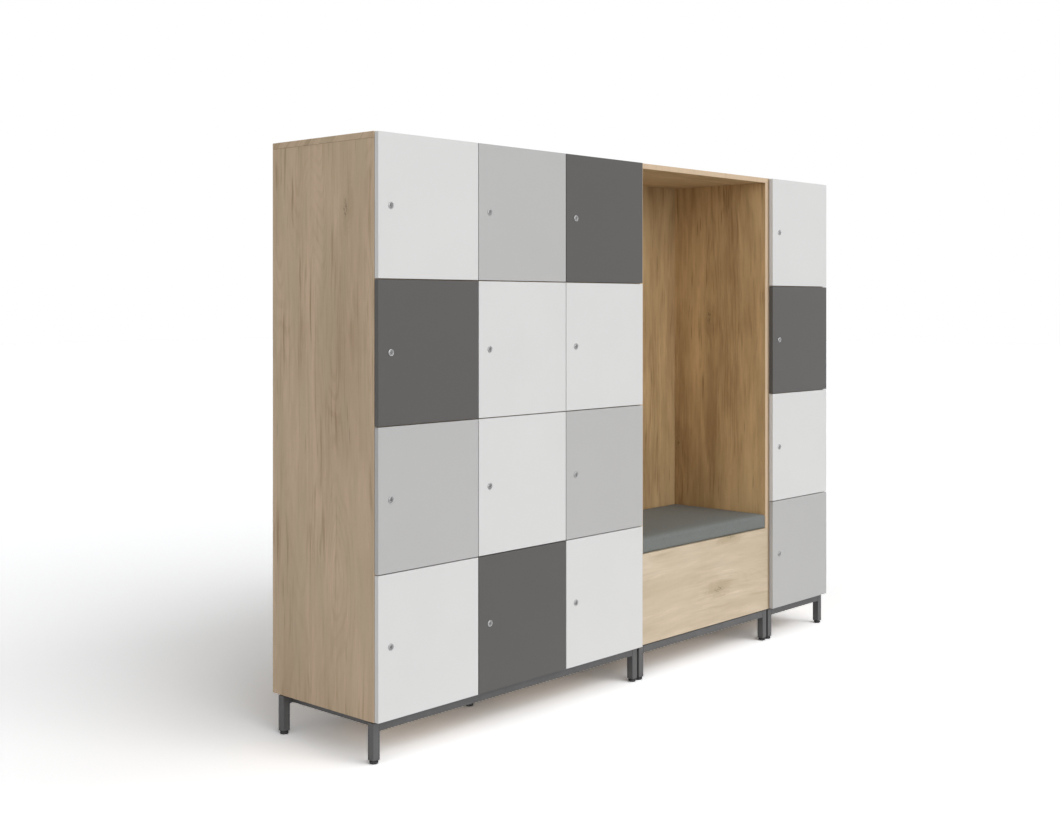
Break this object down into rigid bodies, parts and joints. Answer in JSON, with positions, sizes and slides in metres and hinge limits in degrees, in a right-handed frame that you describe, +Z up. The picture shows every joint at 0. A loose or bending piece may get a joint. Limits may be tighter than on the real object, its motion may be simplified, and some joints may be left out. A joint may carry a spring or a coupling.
{
  "type": "locker row with bench",
  "caption": "Free-standing row of wooden lockers with right-hung doors and cam locks, and an open alcove with a padded seat, on square steel tube base frames.",
  "frame": {"origin": "on the floor under the middle of the whole row, lock faces included", "axes": "+X along the front to the right as seen from the front, doors face -Y, +Z up"},
  "size_m": [2.41, 0.482, 1.78],
  "materials": {
    "door_white": "melamine-faced board, plain white, fine matt texture",
    "door_light_grey": "melamine-faced board, plain light grey, fine matt texture",
    "door_dark_grey": "melamine-faced board, plain dark grey, fine matt texture",
    "oak": "natural oak decor on board, grain along the length, matt",
    "frame_steel": "powder coated steel tube, graphite grey, satin",
    "lock_chrome": "nickel-chrome plated, polished",
    "hinge_steel": "nickel-plated pressed steel",
    "zinc": "zinc-plated steel",
    "black_plastic": "black moulded plastic, matt",
    "seat_fabric": "dark grey woven wool-like cloth, matt"
  },
  "bodies": {
    "carcass": {"bench_back": "oak", "bench_base_frame": "frame_steel", "bench_bottom": "oak", "bench_front": "oak", "bench_sides": "oak", "bench_top": "oak", "frame_bolts": "zinc", "frame_spacers": "black_plastic", "hinge_arms": "hinge_steel", "left_base_frame": "frame_steel", "left_cabinet_back": "oak", "left_cabinet_bottom": "oak", "left_cabinet_partitions": "oak", "left_cabinet_shelves": "oak", "left_cabinet_sides": "oak", "left_cabinet_top": "oak", "levelling_feet": "black_plastic", "linking_fasteners": "zinc", "right_base_frame": "frame_steel", "right_cabinet_back": "oak", "right_cabinet_bottom": "oak", "right_cabinet_shelves": "oak", "right_cabinet_sides": "oak", "right_cabinet_top": "oak", "seat_board": "oak", "seat_cushion": "seat_fabric", "seat_support": "oak", "strike_plates": "hinge_steel"},
    "door_a1": {"door_a1": "door_white"},
    "lock_a1": {"lock_a1": "lock_chrome"},
    "door_a2": {"door_a2": "door_dark_grey"},
    "lock_a2": {"lock_a2": "lock_chrome"},
    "door_a3": {"door_a3": "door_light_grey"},
    "lock_a3": {"lock_a3": "lock_chrome"},
    "door_a4": {"door_a4": "door_white"},
    "lock_a4": {"lock_a4": "lock_chrome"},
    "door_b1": {"door_b1": "door_light_grey"},
    "lock_b1": {"lock_b1": "lock_chrome"},
    "door_b2": {"door_b2": "door_white"},
    "lock_b2": {"lock_b2": "lock_chrome"},
    "door_b3": {"door_b3": "door_white"},
    "lock_b3": {"lock_b3": "lock_chrome"},
    "door_b4": {"door_b4": "door_dark_grey"},
    "lock_b4": {"lock_b4": "lock_chrome"},
    "door_c1": {"door_c1": "door_dark_grey"},
    "lock_c1": {"lock_c1": "lock_chrome"},
    "door_c2": {"door_c2": "door_white"},
    "lock_c2": {"lock_c2": "lock_chrome"},
    "door_c3": {"door_c3": "door_light_grey"},
    "lock_c3": {"lock_c3": "lock_chrome"},
    "door_c4": {"door_c4": "door_white"},
    "lock_c4": {"lock_c4": "lock_chrome"},
    "door_d1": {"door_d1": "door_white"},
    "lock_d1": {"lock_d1": "lock_chrome"},
    "door_d2": {"door_d2": "door_dark_grey"},
    "lock_d2": {"lock_d2": "lock_chrome"},
    "door_d3": {"door_d3": "door_white"},
    "lock_d3": {"lock_d3": "lock_chrome"},
    "door_d4": {"door_d4": "door_light_grey"},
    "lock_d4": {"lock_d4": "lock_chrome"}
  },
  "joints": [
    {"name": "door_a1_hinge", "type": "hinge", "parent": "carcass", "child": "door_a1", "pos_m": [-0.8065, -0.239, 1.5725], "axis": [0, 0, 1], "range_deg": [0, 95]},
    {"name": "door_a2_hinge", "type": "hinge", "parent": "carcass", "child": "door_a2", "pos_m": [-0.8065, -0.239, 1.1575], "axis": [0, 0, 1], "range_deg": [0, 95]},
    {"name": "door_a3_hinge", "type": "hinge", "parent": "carcass", "child": "door_a3", "pos_m": [-0.8065, -0.239, 0.7425], "axis": [0, 0, 1], "range_deg": [0, 95]},
    {"name": "door_a4_hinge", "type": "hinge", "parent": "carcass", "child": "door_a4", "pos_m": [-0.8065, -0.239, 0.3275], "axis": [0, 0, 1], "range_deg": [0, 95]},
    {"name": "door_b1_hinge", "type": "hinge", "parent": "carcass", "child": "door_b1", "pos_m": [-0.4065, -0.239, 1.5725], "axis": [0, 0, 1], "range_deg": [0, 95]},
    {"name": "door_b2_hinge", "type": "hinge", "parent": "carcass", "child": "door_b2", "pos_m": [-0.4065, -0.239, 1.1575], "axis": [0, 0, 1], "range_deg": [0, 95]},
    {"name": "door_b3_hinge", "type": "hinge", "parent": "carcass", "child": "door_b3", "pos_m": [-0.4065, -0.239, 0.7425], "axis": [0, 0, 1], "range_deg": [0, 95]},
    {"name": "door_b4_hinge", "type": "hinge", "parent": "carcass", "child": "door_b4", "pos_m": [-0.4065, -0.239, 0.3275], "axis": [0, 0, 1], "range_deg": [0, 95]},
    {"name": "door_c1_hinge", "type": "hinge", "parent": "carcass", "child": "door_c1", "pos_m": [-0.0065, -0.239, 1.5725], "axis": [0, 0, 1], "range_deg": [0, 95]},
    {"name": "door_c2_hinge", "type": "hinge", "parent": "carcass", "child": "door_c2", "pos_m": [-0.0065, -0.239, 1.1575], "axis": [0, 0, 1], "range_deg": [0, 95]},
    {"name": "door_c3_hinge", "type": "hinge", "parent": "carcass", "child": "door_c3", "pos_m": [-0.0065, -0.239, 0.7425], "axis": [0, 0, 1], "range_deg": [0, 95]},
    {"name": "door_c4_hinge", "type": "hinge", "parent": "carcass", "child": "door_c4", "pos_m": [-0.0065, -0.239, 0.3275], "axis": [0, 0, 1], "range_deg": [0, 95]},
    {"name": "door_d1_hinge", "type": "hinge", "parent": "carcass", "child": "door_d1", "pos_m": [1.2035, -0.239, 1.5725], "axis": [0, 0, 1], "range_deg": [0, 95]},
    {"name": "door_d2_hinge", "type": "hinge", "parent": "carcass", "child": "door_d2", "pos_m": [1.2035, -0.239, 1.1575], "axis": [0, 0, 1], "range_deg": [0, 95]},
    {"name": "door_d3_hinge", "type": "hinge", "parent": "carcass", "child": "door_d3", "pos_m": [1.2035, -0.239, 0.7425], "axis": [0, 0, 1], "range_deg": [0, 95]},
    {"name": "door_d4_hinge", "type": "hinge", "parent": "carcass", "child": "door_d4", "pos_m": [1.2035, -0.239, 0.3275], "axis": [0, 0, 1], "range_deg": [0, 95]},
    {"name": "lock_a1_turn", "type": "hinge", "parent": "door_a1", "child": "lock_a1", "pos_m": [-1.1565, -0.239, 1.5725], "axis": [0, 1, 0], "range_deg": [0, 90]},
    {"name": "lock_a2_turn", "type": "hinge", "parent": "door_a2", "child": "lock_a2", "pos_m": [-1.1565, -0.239, 1.1575], "axis": [0, 1, 0], "range_deg": [0, 90]},
    {"name": "lock_a3_turn", "type": "hinge", "parent": "door_a3", "child": "lock_a3", "pos_m": [-1.1565, -0.239, 0.7425], "axis": [0, 1, 0], "range_deg": [0, 90]},
    {"name": "lock_a4_turn", "type": "hinge", "parent": "door_a4", "child": "lock_a4", "pos_m": [-1.1565, -0.239, 0.3275], "axis": [0, 1, 0], "range_deg": [0, 90]},
    {"name": "lock_b1_turn", "type": "hinge", "parent": "door_b1", "child": "lock_b1", "pos_m": [-0.7565, -0.239, 1.5725], "axis": [0, 1, 0], "range_deg": [0, 90]},
    {"name": "lock_b2_turn", "type": "hinge", "parent": "door_b2", "child": "lock_b2", "pos_m": [-0.7565, -0.239, 1.1575], "axis": [0, 1, 0], "range_deg": [0, 90]},
    {"name": "lock_b3_turn", "type": "hinge", "parent": "door_b3", "child": "lock_b3", "pos_m": [-0.7565, -0.239, 0.7425], "axis": [0, 1, 0], "range_deg": [0, 90]},
    {"name": "lock_b4_turn", "type": "hinge", "parent": "door_b4", "child": "lock_b4", "pos_m": [-0.7565, -0.239, 0.3275], "axis": [0, 1, 0], "range_deg": [0, 90]},
    {"name": "lock_c1_turn", "type": "hinge", "parent": "door_c1", "child": "lock_c1", "pos_m": [-0.3565, -0.239, 1.5725], "axis": [0, 1, 0], "range_deg": [0, 90]},
    {"name": "lock_c2_turn", "type": "hinge", "parent": "door_c2", "child": "lock_c2", "pos_m": [-0.3565, -0.239, 1.1575], "axis": [0, 1, 0], "range_deg": [0, 90]},
    {"name": "lock_c3_turn", "type": "hinge", "parent": "door_c3", "child": "lock_c3", "pos_m": [-0.3565, -0.239, 0.7425], "axis": [0, 1, 0], "range_deg": [0, 90]},
    {"name": "lock_c4_turn", "type": "hinge", "parent": "door_c4", "child": "lock_c4", "pos_m": [-0.3565, -0.239, 0.3275], "axis": [0, 1, 0], "range_deg": [0, 90]},
    {"name": "lock_d1_turn", "type": "hinge", "parent": "door_d1", "child": "lock_d1", "pos_m": [0.8535, -0.239, 1.5725], "axis": [0, 1, 0], "range_deg": [0, 90]},
    {"name": "lock_d2_turn", "type": "hinge", "parent": "door_d2", "child": "lock_d2", "pos_m": [0.8535, -0.239, 1.1575], "axis": [0, 1, 0], "range_deg": [0, 90]},
    {"name": "lock_d3_turn", "type": "hinge", "parent": "door_d3", "child": "lock_d3", "pos_m": [0.8535, -0.239, 0.7425], "axis": [0, 1, 0], "range_deg": [0, 90]},
    {"name": "lock_d4_turn", "type": "hinge", "parent": "door_d4", "child": "lock_d4", "pos_m": [0.8535, -0.239, 0.3275], "axis": [0, 1, 0], "range_deg": [0, 90]}
  ]
}
